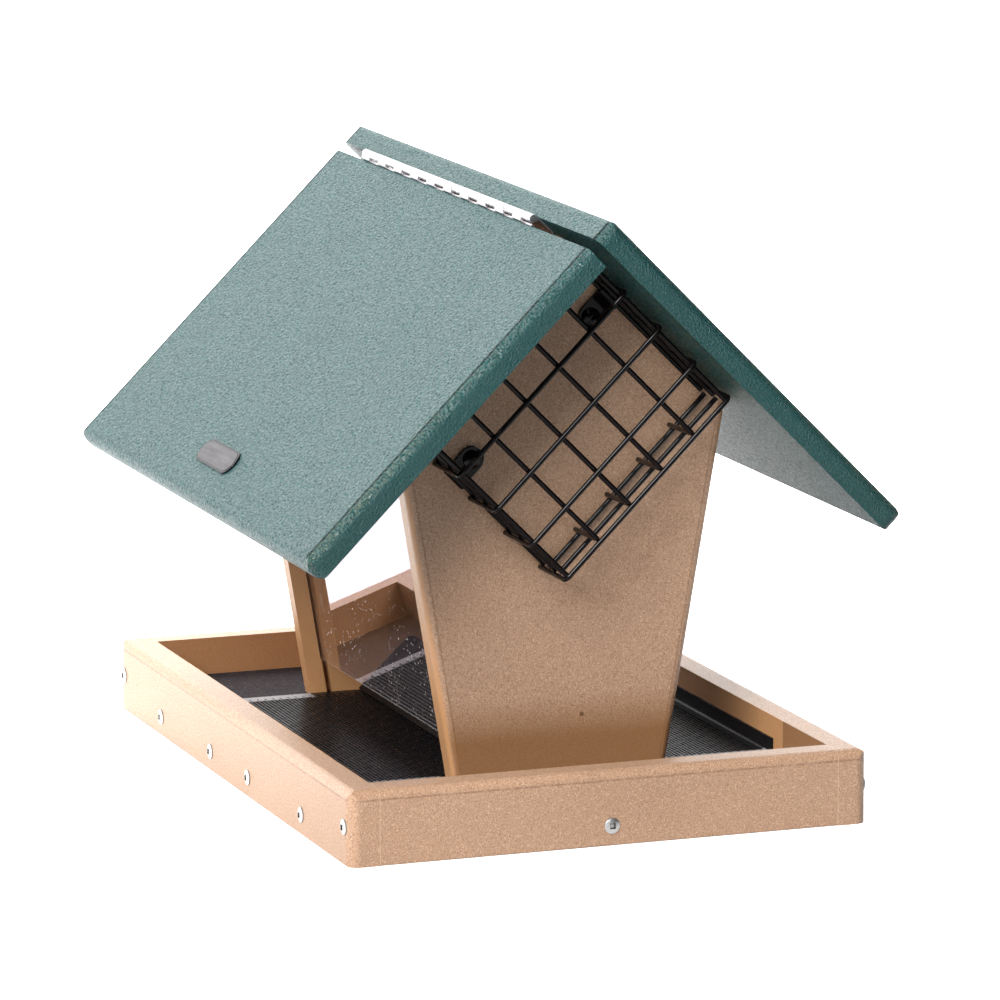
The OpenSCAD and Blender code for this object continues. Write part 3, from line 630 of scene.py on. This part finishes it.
def make_plate(name, outline, t0, t1, round_r, mat):
    """A plate from t0 to t1 out from the lid's underside, with softened upper edges."""
    bm = bmesh.new()
    levels = [(t0, 0.0), (t1 - round_r, 0.0), (t1 - 0.3 * round_r, 0.35 * round_r), (t1, round_r)]
    rings = []
    for t, inset in levels:
        ring = []
        for s, y in outline:
            grow = 1 - inset / max(abs(s), abs(y))
            ring.append(bm.verts.new(lid_point(PLATE_S + s * grow, PLATE_Y + y * grow, t)))
        rings.append(ring)
    count = len(outline)
    for low, high in zip(rings, rings[1:]):
        for k in range(count):
            n = (k + 1) % count
            bm.faces.new((low[k], low[n], high[n], high[k]))
    bm.faces.new(rings[-1])
    bm.faces.new(list(reversed(rings[0])))
    bmesh.ops.recalc_face_normals(bm, faces=bm.faces)
    add_piece(name, bm, mat, "lid")


# Stage

# The floor is dimmer before the object than behind it: both lines along Y, and its
# colour at each
FLOOR_FADE, FLOOR_TONE = (-0.35, 0.15), (0.42, 0.92)
# What the camera sees it gain, near the object and far from it
GAIN_FADE, FLOOR_GAIN = (0.3, 1.2), (0.85, 1.1)
# The studio glows high behind the object: its glow at both levels of its Y direction,
# and what the camera sees in its place
SKY_FADE, SKY_GLOW, SKY_SEEN = (0.35, 0.85), (0.03, 2.23), 1.1

# Each soft box: its place, the point that it faces, its side and its power in watts
SOFT_BOXES = [
    ("key_box", (-2.0, -2.0, 2.1), (0, 0, 0.1), 1.9, 224),
    ("left_box", (-2.3, -0.3, 1.0), (0, 0, 0.1), 1.2, 12),
    ("back_box", (-0.3, 2.2, 2.4), (0, 0, 0.1), 1.4, 30),
    ("floor_box", (0.1, 1.3, 1.1), (0.1, 1.3, 0), 1.6, 58),
]


def make_floor():
    mesh = bpy.data.meshes.new("floor")
    corners = [(-30, -12, 0), (30, -12, 0), (30, 40, 0), (-30, 40, 0)]
    mesh.from_pydata(corners, [], [(0, 1, 2, 3)])
    floor = bpy.data.objects.new("floor", mesh)
    bpy.context.scene.collection.objects.link(floor)
    p = Paint("floor")
    p.set(Roughness=0.9, Specular_IOR_Level=0.0, Emission_Color=(1, 1, 1, 1))
    p.colour(p.ramp(p.place()[1], *FLOOR_FADE, *FLOOR_TONE))
    away = p.nodes.new("ShaderNodeVectorMath")
    away.operation = "LENGTH"
    p.links.new(p.coords.outputs["Object"], away.inputs[0])
    gain = p.ramp(away.outputs["Value"], *GAIN_FADE, *FLOOR_GAIN)
    seen = p.nodes.new("ShaderNodeLightPath").outputs["Is Camera Ray"]
    p.links.new(p.times(gain, seen), p.shader.inputs["Emission Strength"])
    mesh.materials.append(p.mat)


def make_studio():
    world = bpy.data.worlds.new("studio")
    world.use_nodes = True
    nodes, links = world.node_tree.nodes, world.node_tree.links
    coords = nodes.new("ShaderNodeTexCoord")
    split = nodes.new("ShaderNodeSeparateXYZ")
    links.new(coords.outputs["Generated"], split.inputs["Vector"])
    glow = nodes.new("ShaderNodeMapRange")
    glow.interpolation_type = "SMOOTHSTEP"
    levels = ("From Min", "From Max", "To Min", "To Max")
    for key, value in zip(levels, (*SKY_FADE, *SKY_GLOW)):
        glow.inputs[key].default_value = value
    links.new(split.outputs["Y"], glow.inputs["Value"])
    seen = nodes.new("ShaderNodeLightPath")
    pick = nodes.new("ShaderNodeMix")
    links.new(seen.outputs["Is Camera Ray"], pick.inputs["Factor"])
    links.new(glow.outputs["Result"], pick.inputs["A"])
    pick.inputs["B"].default_value = SKY_SEEN
    back = nodes["Background"]
    back.inputs["Color"].default_value = (1.0, 1.0, 1.0, 1)
    links.new(pick.outputs["Result"], back.inputs["Strength"])
    bpy.context.scene.world = world


def make_lights():
    for name, spot, target, side, watts in SOFT_BOXES:
        light = bpy.data.lights.new(name, "AREA")
        light.shape = "RECTANGLE"
        light.size = light.size_y = side
        light.energy = watts
        obj = bpy.data.objects.new(name, light)
        bpy.context.scene.collection.objects.link(obj)
        obj.location = spot
        aim = Vector(target) - Vector(spot)
        obj.rotation_euler = aim.to_track_quat("-Z", "Y").to_euler()
        obj.visible_camera = False
        # The floor's own light stays out of what the boards and windows mirror
        obj.visible_glossy = name != "floor_box"


place_camera()
make_floor()
make_studio()
make_lights()
bpy.context.scene.view_settings.view_transform = "Standard"
bpy.context.scene.view_settings.look = "None"

tan = board_paint()
dark = floor_paint()
green = roof_paint()
sheet = sheet_paint()
wire = wire_paint()
bright = metal_paint("bright_metal", (0.66, 0.635, 0.65), 0.30, BRUSHED, 1.2 * MM)
zinc = metal_paint("board_screw", (0.86, 0.86, 0.86), 0.38, EVEN, 1.6 * MM, 0.55, 0.88)
plain = metal_paint("plate_metal", (0.12, 0.114, 0.122), 0.42, BRUSHED)
clear = clear_paint()

paint(["tray_side_left", "tray_side_right", "tray_end_front", "tray_end_back",
       "pan_rail_front", "pan_rail_back", "gable_front", "gable_back"], tan)
paint(["floor_board_front", "floor_board_back"], dark)
paint(["roof_fixed", "roof_lid"], green)
paint(["window_left", "window_right"], clear)
paint(["hinge_leaf_fixed", "hinge_leaf_lid", "hinge_pin",
       "hinge_screws_fixed", "hinge_screws_lid"], bright)
paint(["basket_front", "basket_back", "basket_clips_front", "basket_clips_back",
       "clip_screws_front", "clip_screws_back", "seed_pan"], wire)
paint(["tray_screws_left", "tray_screws_right", "tray_screws_front", "tray_screws_back",
       "gable_screws", "roof_screws"], zinc)

make_pan(sheet)
make_ridge(sheet)
make_plate("lid_plate_rim", plate_outline(6.9 * MM, 22.3 * MM, 4.0 * MM, 0.9 * MM),
           PANEL_T, PANEL_T + RIM_H, 0.3 * MM, wire)
make_plate("lid_plate_face", plate_outline(5.7 * MM, 21.3 * MM, 3.6 * MM, 0.8 * MM),
           PANEL_T + RIM_H, PANEL_T + RIM_H + FACE_H, 0.15 * MM, plain)
